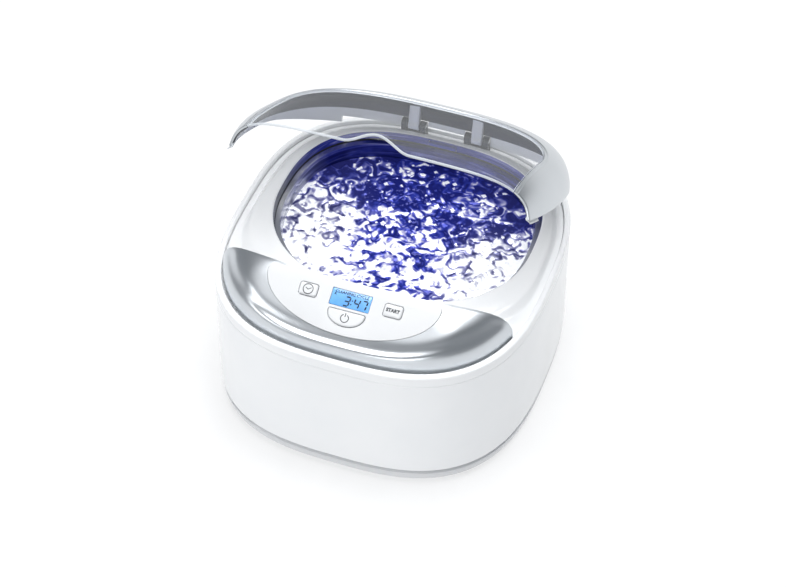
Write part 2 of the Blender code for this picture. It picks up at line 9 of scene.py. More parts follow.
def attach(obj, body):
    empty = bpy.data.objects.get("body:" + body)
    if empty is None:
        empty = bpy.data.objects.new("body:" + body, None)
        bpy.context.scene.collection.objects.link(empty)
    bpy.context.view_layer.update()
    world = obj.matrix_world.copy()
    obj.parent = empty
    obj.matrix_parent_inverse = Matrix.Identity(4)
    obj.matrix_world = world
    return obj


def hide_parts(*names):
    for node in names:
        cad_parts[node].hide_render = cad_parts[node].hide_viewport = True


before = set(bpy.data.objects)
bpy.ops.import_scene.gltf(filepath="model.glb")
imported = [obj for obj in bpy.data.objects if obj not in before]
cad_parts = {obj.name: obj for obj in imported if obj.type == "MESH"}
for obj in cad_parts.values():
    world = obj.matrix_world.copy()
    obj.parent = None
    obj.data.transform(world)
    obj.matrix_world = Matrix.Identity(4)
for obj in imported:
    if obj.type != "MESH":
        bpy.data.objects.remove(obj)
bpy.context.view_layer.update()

# Lengths are in millimetres, and become metres when a mesh is made.
MM = 0.001
GAP = 0.3
IDENTITY = Matrix.Identity(4)

# Plan outlines of the body: (half width, depth in front of MID_Y, depth behind it).
MID_Y = 4.0
BODY_POWER = 2.85
RIM = (100.6, 108.5, 102.0)
SKIRT = (101.6, 110.0, 102.2)
DOME = (96.3, 103.2, 98.0)
SEAM_Z = 10.8

# The dome of the lid and the console, and the joint between them.
DOME_FOOT = 94.0
DOME_RISE = 29.9
DOME_SIDE, DOME_CROWN = 6.5, 2.25
ARCH_HALF = 93.2
ARCH_TIP_Y = -47.2
ARCH_BOW = 16.4
ARCH_POWER = 3.1
VALLEY_DEPTH, VALLEY_INSET, VALLEY_WIDTH = 1.5, 5.0, 2.7

# The lid: its shell and hem, the share of each side that bends to the joint line at the tip,
# and the window that the pane fills.
LID_SHELL = 2.4
HEM_RISE = 4.4
HEM_ROW = 28
HEM_ROUND = 1.15
LID_FLARE = 1.5
TIP_CUT = 0.3
WINDOW_HALF, WINDOW_DEPTH, WINDOW_POWER = 81.0, 60.0, 2.6
WINDOW_TIP_Y = -52.6
PANE_SHELL = 2.0

# The tank's mouth, the deck and the water.
TANK_Y = 23.0
TANK_POWER = 2.3
REAR_POWER = 2.65
REAR_EXTRA = 0.8
DECK_TOP = 96.7
DECK_FLOOR = 92.8
DECK_MOUTH = (81.6, 69.0)
WATER_Z = 79.0
WATER_SIZE = (76.45, 63.9)
RIPPLE_SEED = 7

# The sloping face, in its own x and v, and the keys on it.
FACE_TILT = math.radians(30.0)
FACE_Y = -63.5
FACE_Z = 123.0
FACE = Matrix.Translation((0, FACE_Y, FACE_Z)) @ Matrix.Rotation(FACE_TILT, 4, "X")
KEY_X, KEY_V = 26.0, -11.5
KEY_TOP = 1.53
DIGIT_LEAN = 0.14

# The hinge, and the turn that opens the lid from closed to the photo's pose.
HINGE_Y, HINGE_Z = 98.0, 100.5
ARM_X, ARM_HALF, BRACKET_HALF = 21.0, 3.5, 8.0
OPEN_LID = (
    Matrix.Translation((0, HINGE_Y, HINGE_Z))
    @ Matrix.Rotation(math.radians(-30.0), 4, "X")
    @ Matrix.Translation((0, -HINGE_Y, -HINGE_Z))
)

INLET_X, INLET_Z = -42.0, 27.0

# The photo's camera: place in metres, degrees down and round, and lens.
CAMERA_AT = (0.29687, -0.82967, 0.99668)
CAMERA_DOWN, CAMERA_TURN, CAMERA_LENS = 47.09, 19.72, 95.2


# ------------------------------------------------------------------ materials

def blank(name):
    made = bpy.data.materials.new(name)
    made.use_nodes = True
    return made, made.node_tree.nodes, made.node_tree.links, made.node_tree.nodes["Principled BSDF"]


def tuned(node, **inputs):
    """Sets a node's inputs by name, with _ for each space."""
    for key, value in inputs.items():
        node.inputs[key.replace("_", " ")].default_value = value


def texture(nodes, links, kind, scale, **inputs):
    place = nodes.get("place") or nodes.new("ShaderNodeTexCoord")
    place.name = "place"
    made = nodes.new(kind)
    tuned(made, Scale=scale, **inputs)
    links.new(place.outputs["Object"], made.inputs["Vector"])
    return made


def ramp(nodes, links, source, stops):
    made = nodes.new("ShaderNodeValToRGB")
    band = made.color_ramp
    while len(band.elements) < len(stops):
        band.elements.new(0.5)
    for element, (place, colour) in zip(band.elements, stops):
        element.position = place
        element.color = (*colour, 1.0)
    links.new(source, made.inputs["Fac"])
    return made.outputs["Color"]


def span(nodes, links, source, low, high, start=0.0, end=1.0, kind="LINEAR"):
    """A value between start and end, spread over low to high."""
    made = nodes.new("ShaderNodeMapRange")
    made.interpolation_type = kind
    tuned(made, From_Min=start, From_Max=end, To_Min=low, To_Max=high)
    links.new(source, made.inputs["Value"])
    return made.outputs["Result"]


def streaks(nodes, links, along, **inputs):
    """Noise scaled apart on each axis, so that it runs in lines."""
    place = nodes.new("ShaderNodeTexCoord")
    place.name = "place"
    stretch = nodes.new("ShaderNodeMapping")
    stretch.inputs["Scale"].default_value = along
    links.new(place.outputs["Object"], stretch.inputs["Vector"])
    made = nodes.new("ShaderNodeTexNoise")
    tuned(made, Scale=1.0, **inputs)
    links.new(stretch.outputs["Vector"], made.inputs["Vector"])
    return made


def blend(nodes, links, share, first, second):
    made = nodes.new("ShaderNodeMix")
    made.data_type = "RGBA"
    for key, source in (("Factor", share), ("A", first), ("B", second)):
        links.new(source, made.inputs[key])
    return made.outputs["Result"]


def bumped(nodes, links, shader, source, strength, distance):
    made = nodes.new("ShaderNodeBump")
    tuned(made, Strength=strength, Distance=distance)
    links.new(source, made.inputs["Height"])
    links.new(made.outputs["Normal"], shader.inputs["Normal"])


def moulded(name, low, high, rough, grain=900.0, bump=0.12, metallic=0.0, coat=0.0, spec=0.5):
    """Moulded or painted plastic: faint mottling, uneven gloss and a fine skin."""
    made, nodes, links, shader = blank(name)
    cloud = texture(nodes, links, "ShaderNodeTexNoise", 26.0, Detail=4.0)
    skin_grain = texture(nodes, links, "ShaderNodeTexNoise", grain, Detail=2.0)
    mottle = cloud.outputs["Fac"]
    links.new(ramp(nodes, links, mottle, [(0.3, low), (0.7, high)]), shader.inputs["Base Color"])
    links.new(span(nodes, links, mottle, rough * 0.85, rough * 1.15), shader.inputs["Roughness"])
    bumped(nodes, links, shader, skin_grain.outputs["Fac"], bump, 0.00006)
    tuned(shader, Metallic=metallic, Coat_Weight=coat, Coat_Roughness=0.06, Specular_IOR_Level=spec)
    return made


def brushed(name, low, high, rough, along=(60.0, 60.0, 2600.0), metallic=1.0, bump=0.15):
    """Metal with fine lines along one direction."""
    made, nodes, links, shader = blank(name)
    lines = streaks(nodes, links, along, Detail=5.0).outputs["Fac"]
    links.new(ramp(nodes, links, lines, [(0.3, low), (0.7, high)]), shader.inputs["Base Color"])
    links.new(span(nodes, links, lines, rough * 0.75, rough * 1.3), shader.inputs["Roughness"])
    bumped(nodes, links, shader, lines, bump, 0.00004)
    tuned(shader, Metallic=metallic)
    return made


WHITE = moulded("white_gloss", (0.86, 0.875, 0.89), (0.89, 0.90, 0.91), 0.2, coat=0.25)
BASE_WHITE = moulded("base_white", (0.62, 0.635, 0.65), (0.67, 0.68, 0.695), 0.25, coat=0.2)
PLATE_WHITE = moulded("plate_white", (0.68, 0.695, 0.71), (0.72, 0.73, 0.745), 0.3, 1400.0, 0.2)
KEY_WHITE = moulded("key_white", (0.69, 0.705, 0.72), (0.74, 0.75, 0.765), 0.25, 1400.0, 0.1, coat=0.2)
SILVER = moulded("silver_paint", (0.60, 0.63, 0.66), (0.65, 0.68, 0.71), 0.3, 2600.0, 0.22, 0.9)
LID_WHITE = moulded("lid_silver", (0.55, 0.58, 0.605), (0.60, 0.625, 0.65), 0.3, 2200.0, 0.12, 0.85)
LID_HEM = moulded("lid_hem", (0.66, 0.69, 0.72), (0.72, 0.745, 0.77), 0.35, 1800.0, 0.15)
# The lid's inner surface painted near black as painted shade; near the hem it takes the lighter lid_hem grey.
LID_INSIDE_SHADE = moulded(
    "lid_inside_shade", (0.03, 0.036, 0.043), (0.055, 0.062, 0.07), 0.3, 1800.0, 0.15, 0.35
)
TAB_GREY = moulded("hinge_tab", (0.62, 0.65, 0.68), (0.68, 0.71, 0.74), 0.3, 1600.0, 0.15)
BLACK = moulded("black_plastic", (0.018, 0.018, 0.02), (0.035, 0.035, 0.038), 0.4, 1500.0, 0.3)
RUBBER = moulded("black_seal", (0.008, 0.008, 0.01), (0.02, 0.02, 0.022), 0.5, 1800.0, 0.4)
FOOT_RUBBER = moulded("grey_rubber", (0.16, 0.165, 0.17), (0.24, 0.245, 0.25), 0.75, 1500.0, 0.5)
INK = moulded("ink_grey", (0.015, 0.02, 0.028), (0.03, 0.036, 0.045), 0.4, 2000.0, 0.1)
LCD_INK = moulded("lcd_segment", (0.008, 0.012, 0.03), (0.02, 0.026, 0.05), 0.2, 2000.0, 0.05)
BOARD = moulded("green_board", (0.015, 0.14, 0.06), (0.03, 0.22, 0.09), 0.35, 700.0, 0.5)
CERAMIC = moulded("piezo_ceramic", (0.62, 0.57, 0.48), (0.72, 0.66, 0.56), 0.55, 900.0, 0.4)
WINDING = brushed(
    "copper_wire", (0.45, 0.18, 0.05), (0.70, 0.32, 0.10), 0.35, (60.0, 2600.0, 60.0), 0.8, 0.6
)
STEEL = brushed("brushed_steel", (0.52, 0.54, 0.57), (0.68, 0.70, 0.72), 0.2)
ALUMINIUM = brushed("cast_aluminium", (0.60, 0.61, 0.63), (0.74, 0.75, 0.77), 0.38, (900.0,) * 3)
BRASS = brushed("brass", (0.60, 0.42, 0.14), (0.78, 0.58, 0.25), 0.28)
RED_WIRE = moulded("red_sleeve", (0.40, 0.015, 0.015), (0.55, 0.03, 0.03), 0.45, 900.0, 0.2)
GREY_WIRE = moulded("grey_sleeve", (0.26, 0.27, 0.29), (0.36, 0.37, 0.39), 0.5, 900.0, 0.2)


def clear_sheet(name, low, high, alpha, ior):
    made, nodes, links, shader = blank(name)
    haze = texture(nodes, links, "ShaderNodeTexNoise", 90.0, Detail=3.0)
    links.new(span(nodes, links, haze.outputs["Fac"], 0.015, 0.06), shader.inputs["Roughness"])
    tint = ramp(nodes, links, haze.outputs["Fac"], [(0.3, low), (0.7, high)])
    links.new(tint, shader.inputs["Base Color"])
    tuned(shader, Alpha=alpha, IOR=ior)
    return made


CLEAR = clear_sheet("clear_acrylic", (0.78, 0.81, 0.84), (0.86, 0.89, 0.92), 0.07, 1.55)
PANE_EDGE = clear_sheet("acrylic_edge", (0.62, 0.66, 0.70), (0.70, 0.74, 0.78), 0.8, 1.5)


def lit_screen():
    made, nodes, links, shader = blank("lit_screen")
    cells = texture(nodes, links, "ShaderNodeTexNoise", 120.0, Detail=2.0)
    stops = [(0.3, (0.09, 0.30, 0.66)), (0.7, (0.15, 0.40, 0.78))]
    tint = ramp(nodes, links, cells.outputs["Fac"], stops)
    links.new(tint, shader.inputs["Base Color"])
    links.new(tint, shader.inputs["Emission Color"])
    tuned(shader, Emission_Strength=0.2, Roughness=0.12, Coat_Weight=0.5)
    return made


SCREEN = lit_screen()
LAMP = moulded("blue_lens", (0.03, 0.045, 0.30), (0.06, 0.08, 0.42), 0.25, 1200.0, 0.1)


def rippled_water():
    """Blue-lit water with its light painted into the colour: deep blue towards the lamp at the back as
    painted lamp light, with small painted glints, and painted white reflections that thicken towards the
    front and its two sides. It glows a little in that colour."""
    made, nodes, links, shader = blank("blue_lit_water")

    def maths(kind, first, second=None, value=None):
        node = nodes.new("ShaderNodeMath")
        node.operation = kind
        links.new(first, node.inputs[0])
        if second is not None:
            links.new(second, node.inputs[1])
        elif value is not None:
            node.inputs[1].default_value = value
        return node.outputs[0]

    def reach(source, start, end, low, high):
        return span(nodes, links, source, low, high, start, end, "SMOOTHSTEP")

    patches = texture(nodes, links, "ShaderNodeTexNoise", 42.0, Detail=2.0, Distortion=0.6)
    swirls = texture(nodes, links, "ShaderNodeTexNoise", 125.0, Detail=1.4, Distortion=1.3)
    cells = texture(nodes, links, "ShaderNodeTexVoronoi", 190.0)
    cells.distance = "MANHATTAN"
    split = nodes.new("ShaderNodeSeparateXYZ")
    links.new(nodes["place"].outputs["Object"], split.inputs[0])
    aside = maths("ABSOLUTE", split.outputs["X"])
    ahead = split.outputs["Y"]
    # Painted lamp light and reflections: bluer towards the lamp at the back, whiter towards the front, and
    # whiter again towards both sides at the front.
    front = reach(ahead, 0.060, -0.010, -0.26, 0.15)
    side_reflection = maths("MULTIPLY", reach(aside, 0.012, 0.045, -0.13, 0.13), reach(ahead, 0.05, 0.0, 0.0, 1.0))
    broad = maths("MULTIPLY", maths("SUBTRACT", patches.outputs["Fac"], value=0.5), value=1.1)
    swirl = maths("MULTIPLY", maths("SUBTRACT", swirls.outputs["Fac"], value=0.5), value=2.3)
    picked = nodes.new("ShaderNodeSeparateColor")
    links.new(cells.outputs["Color"], picked.inputs[0])
    # Painted glints: some of the small cells turn white.
    glint = maths("MULTIPLY", reach(cells.outputs["Distance"], 0.52, 0.30, 0.0, 0.55),
                  reach(picked.outputs[0], 0.5, 0.7, 0.0, 1.0))
    total = maths("ADD", maths("ADD", broad, swirl), maths("ADD", front, side_reflection))
    total = maths("ADD", maths("ADD", total, glint), value=0.50)
    blue = ramp(nodes, links, total, [
        (0.08, (0.010, 0.014, 0.14)),
        (0.32, (0.022, 0.034, 0.29)),
        (0.46, (0.10, 0.11, 0.42)),
        (0.56, (0.40, 0.40, 0.62)),
        (0.68, (0.92, 0.94, 1.0)),
    ])
    pale = ramp(nodes, links, total, [
        (0.20, (0.05, 0.05, 0.12)),
        (0.42, (0.26, 0.26, 0.38)),
        (0.54, (0.62, 0.63, 0.70)),
        (0.66, (0.96, 0.97, 1.0)),
    ])
    # Towards both sides the colour turns to the greys and white of painted reflections.
    sides = maths("MULTIPLY", reach(aside, 0.020, 0.050, 0.0, 0.85), reach(ahead, 0.055, 0.02, 0.25, 1.0))
    tint = blend(nodes, links, sides, blue, pale)
    links.new(tint, shader.inputs["Base Color"])
    links.new(tint, shader.inputs["Emission Color"])
    # The emission makes the water glow in its own colour: painted lamp light.
    tuned(shader, Emission_Strength=0.34, Metallic=0.25, Roughness=0.06, IOR=1.33)
    bumped(nodes, links, shader, swirls.outputs["Fac"], 0.8, 0.0022)
    return made


WATER = rippled_water()


def lamp_washed(name, pale, metallic):
    """A wall with the lamp's blue light painted on towards the back, in streaks that run round it; the
    lightest streaks are painted highlights. Towards the front it takes the colours given in pale.
    """
    made, nodes, links, shader = blank(name)
    lines = streaks(nodes, links, (26.0, 26.0, 420.0), Detail=4.0, Distortion=0.8).outputs["Fac"]
    split = nodes.new("ShaderNodeSeparateXYZ")
    links.new(nodes["place"].outputs["Object"], split.inputs[0])
    back = span(nodes, links, split.outputs["Y"], 0.0, 1.0, 0.02, 0.065)
    # Painted lamp light: blue streaks, the lightest of them white painted highlights.
    blue = ramp(nodes, links, lines, [
        (0.36, (0.012, 0.018, 0.16)), (0.52, (0.035, 0.05, 0.34)), (0.64, (0.16, 0.17, 0.50)),
        (0.76, (0.85, 0.88, 1.0)),
    ])
    tint = blend(nodes, links, back, ramp(nodes, links, lines, pale), blue)
    links.new(tint, shader.inputs["Base Color"])
    links.new(span(nodes, links, lines, 0.12, 0.3), shader.inputs["Roughness"])
    tuned(shader, Metallic=metallic)
    return made


# The tank's steel: streaked grey towards the front, the lamp's painted blue towards the back.
TANK_STEEL = lamp_washed("lamp_washed_steel", [
    (0.36, (0.42, 0.44, 0.50)), (0.52, (0.62, 0.64, 0.70)), (0.70, (0.95, 0.96, 0.98)),
], 0.55)
# The white deck's inner wall painted dark grey as painted shade, with the lamp's painted blue towards the
# back.
SHADED_DECK_WALL = lamp_washed("lamp_lit_shaded_plastic", [
    (0.36, (0.16, 0.17, 0.19)), (0.52, (0.22, 0.235, 0.26)), (0.70, (0.32, 0.335, 0.36)),
], 0.1)


# --------------------------------------------------------------- mesh functions

def piece(name, points, faces, looks, body, matrix=IDENTITY, indices=None, stands_for=(), slot=None):
    """A mesh from points in millimetres, riding on a CAD body."""
    mesh = bpy.data.meshes.new(name)
    turned = [(matrix @ Vector(point)) * MM for point in points]
    mesh.from_pydata(turned, [], faces)
    looks = looks if isinstance(looks, (list, tuple)) else [looks]
    for look in looks:
        mesh.materials.append(look)
    if indices is not None:
        mesh.polygons.foreach_set("material_index", indices)
    mesh.validate()
    shape = bmesh.new()
    shape.from_mesh(mesh)
    bmesh.ops.remove_doubles(shape, verts=shape.verts, dist=1e-7)
    outward(shape)
    shape.to_mesh(mesh)
    shape.free()
    made = bpy.data.objects.new(name, mesh)
    bpy.context.scene.collection.objects.link(made)
    smooth(made)
    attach(made, body)
    if stands_for:
        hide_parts(*stands_for)
    return made


def outward(shape):
    bmesh.ops.recalc_face_normals(shape, faces=shape.faces)
    if shape.calc_volume(signed=True) < 0:
        bmesh.ops.reverse_faces(shape, faces=shape.faces)


def smooth(made, angle=38.0):
    made.data.shade_smooth()
    made.data.set_sharp_from_angle(angle=math.radians(angle))


def skin(rings, loop=False, caps=True):
    """Points and faces of a skin through rings of equal count."""
    count = len(rings[0])
    points = [point for ring in rings for point in ring]
    faces = []
    pairs = [(k, k + 1) for k in range(len(rings) - 1)] + ([(len(rings) - 1, 0)] if loop else [])
    for a, b in pairs:
        for i in range(count):
            j = (i + 1) % count
            faces.append((a * count + i, a * count + j, b * count + j, b * count + i))
    if not loop and caps:
        faces.append(tuple(range(count))[::-1])
        faces.append(tuple((len(rings) - 1) * count + i for i in range(count)))
    return points, faces


def oval(size, power, centre_y, z, count=192, rear_power=None):
    """Ring with its own depth and roundness behind centre_y."""
    ring = []
    for i in range(count):
        turn = 2 * math.pi * i / count
        c, s = math.cos(turn), math.sin(turn)
        depth, bend = (size[2], rear_power or power) if s > 0 else (size[1], power)
        reach = (abs(c / size[0]) ** bend + abs(s / depth) ** bend) ** (-1 / bend)
        ring.append((reach * c, centre_y + reach * s, z))
    return ring


def grown(size, by):
    return tuple(side + by for side in size)


def body_ring(size, z, count=192):
    return oval(size, BODY_POWER, MID_Y, z, count)


def tank_ring(half_x, half_y, z, count=192):
    size = (half_x, half_y, half_y + REAR_EXTRA)
    return oval(size, TANK_POWER, TANK_Y, z, count, REAR_POWER)


def rounded(profile, radius_steps=4):
    """A polyline of (offset, height, radius) with its corners turned into arcs."""
    out = []
    for i, (x, y, radius) in enumerate(profile):
        if radius <= 0 or i in (0, len(profile) - 1):
            out.append((x, y))
            continue
        here = Vector((x, y))
        before = Vector(profile[i - 1][:2]) - here
        after = Vector(profile[i + 1][:2]) - here
        reach = min(radius, before.length * 0.49, after.length * 0.49)
        first, last = here + before.normalized() * reach, here + after.normalized() * reach
        for k in range(radius_steps + 1):
            t = k / radius_steps
            point = first * (1 - t) ** 2 + here * 2 * t * (1 - t) + last * t * t
            out.append((point.x, point.y))
    return out


def dome_reach(x, y):
    """0 at the middle of the dome, 1 on its outline."""
    depth = DOME[2] if y > MID_Y else DOME[1]
    return (
        abs(x / DOME[0]) ** BODY_POWER + abs((y - MID_Y) / depth) ** BODY_POWER
    ) ** (1 / BODY_POWER)


def dome_height(x, y):
    reach = min(1.0, dome_reach(x, y))
    return DOME_FOOT + DOME_RISE * (1 - reach ** DOME_SIDE) ** (1 / DOME_CROWN)


def arch_y(x):
    """Joint line between the lid and the console, in plan."""
    across = min(1.0, abs(x) / ARCH_HALF)
    return ARCH_TIP_Y - ARCH_BOW * (1 - across ** ARCH_POWER)


def ease(t):
    t = min(1.0, max(0.0, t))
    return t * t * (3 - 2 * t)


def outline_y(x):
    """Front edge of the dome's plan outline at x."""
    side = min(1.0, abs(x) / DOME[0])
    return MID_Y - DOME[1] * (1 - side ** BODY_POWER) ** (1 / BODY_POWER)


def tip_x(gap):
    """x where the joint line, moved back by a gap, meets the dome's outline."""
    low, high = 80.0, 95.0
    for _ in range(40):
        middle = (low + high) / 2
        low, high = (middle, high) if outline_y(middle) < arch_y(middle) + gap else (low, middle)
    return low


# --------------------------------------------------------------- white body

def casing():
    outer = rounded([
        (-3.0, 11.4, 0.0), (-1.5, 11.4, 0.2), (0.0, 12.7, 0.5), (0.0, 13.4, 0.5), (-0.95, 87.6, 0.4),
        (-1.25, 88.1, 0.3), (-0.95, 88.6, 0.4), (-1.0, 95.6, 3.6), (-4.2, 95.75, 0.8),
        (-4.7, 95.2, 0.4), (-4.7, 92.6, 0.2), (-3.5, 92.2, 0.3), (-3.0, SEAM_Z + 1, 0.3),
    ], 5)
    taper_foot, taper_rise = 12.4, 78.0
    rings = []
    for by, z in outer:
        share = min(1.0, max(0.0, (z - taper_foot) / taper_rise))
        size = tuple(s + (r + 1.0 - s) * share for s, r in zip(SKIRT, RIM))
        rings.append(body_ring(grown(size, by), z))
    points, faces = skin(rings, loop=True)
    made = piece("casing_shell", points, faces, WHITE, "root",
                 stands_for=["outer_casing"], slot="white_plastic")
    low, high = (INLET_X - 12.3, 90.0, INLET_Z - 8.3), (INLET_X + 12.3, 125.0, INLET_Z + 8.3)
    cutter(made, "inlet_hole", low, high)
    smooth(made)


def base():
    outer = rounded([
        (-30.0, 2.0, 0.0), (-3.6, 2.0, 1.6), (-1.3, 3.4, 2.4), (-0.3, 9.4, 0.5),
        (-1.7, 10.5, 0.3), (-2.6, 10.5, 0.2), (-3.2, 5.0, 0.5), (-30.0, 5.0, 0.0),
    ], 5)
    rings = [body_ring(grown(SKIRT, by), z) for by, z in outer]
    points, faces = skin(rings)
    made = piece("base_shell", points, faces, BASE_WHITE, "root",
                 stands_for=["base_cover"], slot="white_plastic")
    # kind: (x on either side, y of each, radius, top)
    recesses = {"foot": (64.0, (-62.0, 66.0), 8.3, 3.4), "screw": (74.0, (-79.5, 82.0), 3.4, 3.9)}
    for side in (-1, 1):
        for kind, (x, places, radius, top) in recesses.items():
            for y in places:
                outline = arc(side * x, y, radius, 0, 354, 59)
                carve(made, f"{kind}_recess", prism(outline, -1.0, top))
    smooth(made)


# ------------------------------------------------------ camera, lights, floor

def studio():
    scene = bpy.context.scene
    camera = bpy.data.objects.new("camera", bpy.data.cameras.new("camera"))
    scene.collection.objects.link(camera)
    camera.location = CAMERA_AT
    camera.rotation_euler = (math.radians(90 - CAMERA_DOWN), 0, math.radians(CAMERA_TURN))
    camera.data.lens = CAMERA_LENS
    camera.data.sensor_width = 36.0
    scene.camera = camera
    scene.view_settings.view_transform = "Standard"

    world = bpy.data.worlds.new("soft_room")
    scene.world = world
    world.use_nodes = True
    nodes, links = world.node_tree.nodes, world.node_tree.links
    place = nodes.new("ShaderNodeTexCoord")
    split = nodes.new("ShaderNodeSeparateXYZ")
    links.new(place.outputs["Generated"], split.inputs[0])
    sky = ramp(nodes, links, split.outputs["Z"], [
        (0.0, (0.24, 0.25, 0.26)), (0.22, (0.22, 0.23, 0.25)), (0.42, (0.19, 0.21, 0.23)),
        (0.60, (0.10, 0.11, 0.12)), (0.76, (0.18, 0.19, 0.21)), (0.88, (0.80, 0.81, 0.83)),
        (0.95, (1.0, 1.0, 1.0)),
    ])
    links.new(sky, nodes["Background"].inputs["Color"])
    nodes["Background"].inputs["Strength"].default_value = 0.95

    def softbox(name, place, target, size, power):
        light = bpy.data.lights.new(name, "AREA")
        light.shape = "RECTANGLE"
        light.size, light.size_y = size
        light.energy = power
        made = bpy.data.objects.new(name, light)
        made.location = place
        made.rotation_euler = (Vector(target) - Vector(place)).to_track_quat("-Z", "Y").to_euler()
        scene.collection.objects.link(made)

    softbox("overhead", (0.05, 0.15, 1.5), (0, 0, 0.08), (1.1, 0.9), 21.0)
    softbox("front_left", (-1.5, -1.6, 1.2), (0, 0, 0.06), (1.2, 0.9), 11.0)
    softbox("front_low", (0.25, -2.2, 0.55), (0, 0, 0.06), (1.0, 0.5), 9.0)
    softbox("behind", (0.1, 1.9, 0.9), (0, 0, 0.1), (1.6, 0.7), 2.5)

    floor = bpy.data.meshes.new("floor")
    half = 6.0
    corners = [(-half, -half, 0), (half, -half, 0), (half, half, 0), (-half, half, 0)]
    floor.from_pydata(corners, [], [(0, 1, 2, 3)])
    paper = moulded("pale_floor", (0.33, 0.335, 0.34), (0.35, 0.355, 0.36), 0.8, 60.0, 0.0, spec=0.1)
    shader = paper.node_tree.nodes["Principled BSDF"]
    tuned(shader, Emission_Color=(1.0, 1.0, 1.0, 1.0), Emission_Strength=0.62)
    floor.materials.append(paper)
    made = bpy.data.objects.new("floor", floor)
    scene.collection.objects.link(made)


# --------------------------------------------------------------- deck and tank

def deck():
    def opening(by, z):
        return tank_ring(DECK_MOUTH[0] + by, DECK_MOUTH[1] + by, z)

    foot = (93.3, 65.0, 95.4)
    lip, outer = opening(1.2, DECK_TOP + 0.05), oval(foot, BODY_POWER, MID_Y, DECK_FLOOR)

    def crest(extra, z):
        ring = []
        for i, (a, b) in enumerate(zip(lip, outer)):
            share = 0.28 + 0.36 * math.cos(2 * math.pi * i / len(lip)) ** 2 + extra
            point = Vector(a).lerp(Vector(b), share)
            ring.append((point.x, point.y, z))
        return ring

    rings = [
        opening(-1.0, 90.9), opening(-0.7, 93.2), opening(-0.4, 95.4), opening(-0.1, 96.2),
        opening(0.5, DECK_TOP - 0.05), lip,
    ]
    inner = crest(-0.12, DECK_TOP + 0.25)
    for k in range(1, 5):
        t = k / 4
        rings.append([tuple(Vector(a).lerp(Vector(b), t)) for a, b in zip(lip, inner)])
    rings.append(crest(0.0, DECK_TOP + 0.05))
    low = crest(0.1, DECK_TOP - 0.45)
    for k in range(13):
        t = k / 12
        ring = []
        for a, b in zip(low, outer):
            point = Vector(a).lerp(Vector(b), t)
            point.z = a[2] + (b[2] - a[2]) * (0.55 * t + 0.45 * ease(t))
            ring.append(tuple(point))
        rings.append(ring)
    rings += [
        body_ring(grown(DOME, 0.15), DECK_FLOOR), body_ring(grown(DOME, 0.2), DECK_FLOOR - 0.05),
        body_ring(grown(DOME, 0.2), 91.9), body_ring(grown(RIM, -3.0), 91.7),
        body_ring(grown(RIM, -3.0), 89.8), oval(grown(foot, -1.2), BODY_POWER, MID_Y, 90.2),
        crest(-0.1, DECK_TOP - 2.2), opening(1.4, 93.6), opening(1.2, 90.9),
    ]
    points, faces = skin(rings, loop=True)
    # The opening's inner wall takes the painted shade of the shaded deck wall.
    wall = 3 * len(lip)
    indices = [int(k < wall) for k in range(len(faces))]
    made = piece("deck_shell", points, faces, [WHITE, SHADED_DECK_WALL], "root", indices=indices,
                 stands_for=["top_deck"], slot="white_plastic")
    half = BRACKET_HALF + GAP
    for middle in (-ARM_X, ARM_X):
        cutter(made, "bracket_slot", (middle - half, 94.7, 80), (middle + half, 101.2, 105))
    cutter(made, "lamp_slot", (-9.3, 88.0, 91.4), (9.3, 94.0, 95.0))


def cutter(target, name, low, high, matrix=IDENTITY):
    """Cuts a box out of a piece."""
    shape = bmesh.new()
    bmesh.ops.create_cube(shape, size=1.0)
    bmesh.ops.scale(shape, vec=Vector(high) - Vector(low), verts=shape.verts)
    bmesh.ops.translate(shape, vec=(Vector(high) + Vector(low)) / 2, verts=shape.verts)
    carve(target, name, shape, matrix)


def carve(target, name, shape, matrix=IDENTITY):
    """Cuts a shape out of a piece, and leaves a plain mesh."""
    bmesh.ops.transform(shape, matrix=matrix, verts=shape.verts)
    outward(shape)
    bmesh.ops.scale(shape, vec=(MM, MM, MM), verts=shape.verts)
    mesh = bpy.data.meshes.new(name)
    shape.to_mesh(mesh)
    shape.free()
    tool = bpy.data.objects.new(name, mesh)
    bpy.context.scene.collection.objects.link(tool)
    change = target.modifiers.new(name, "BOOLEAN")
    change.operation = "DIFFERENCE"
    change.object = tool
    graph = bpy.context.evaluated_depsgraph_get()
    result = bpy.data.meshes.new_from_object(target.evaluated_get(graph))
    target.modifiers.clear()
    target.data = result
    bpy.data.objects.remove(tool)


def bath():
    wall = [
        (64.0, 52.0, 40.8), (71.0, 59.0, 42.3), (74.2, 61.9, 46.5), (76.2, 63.8, 56.0),
        (78.5, 65.9, 87.4), (83.0, 70.4, 88.4), (83.0, 70.4, 89.6), (78.4, 65.8, 89.6), (77.6, 65.0, 89.2),
        (77.3, 64.7, 88.2), (76.1, 63.6, 72.0), (75.0, 62.6, 56.0), (74.4, 62.0, 51.0), (73.0, 60.7, 47.0),
        (71.2, 59.1, 44.6), (68.0, 56.0, 42.8), (64.0, 52.0, 42.0), (40.0, 32.0, 42.0), (10.0, 8.0, 42.0),
    ]
    points, faces = skin([tank_ring(*ring) for ring in wall])
    piece("tank_shell", points, faces, TANK_STEEL, "root", stands_for=["tank"], slot="stainless_steel")
    profile = rounded([(82.6, 89.9, 0), (82.6, 90.6, 0.2), (81.4, 90.7, 0.3), (81.2, 91.2, 0.2),
                       (80.5, 91.2, 0.2), (80.4, 89.9, 0.2)], 3)
    points, faces = skin([tank_ring(x, x - 12.6, z) for x, z in profile], loop=True)
    piece("seal_ring", points, faces, RUBBER, "root", stands_for=["tank_gasket"], slot="black_rubber")


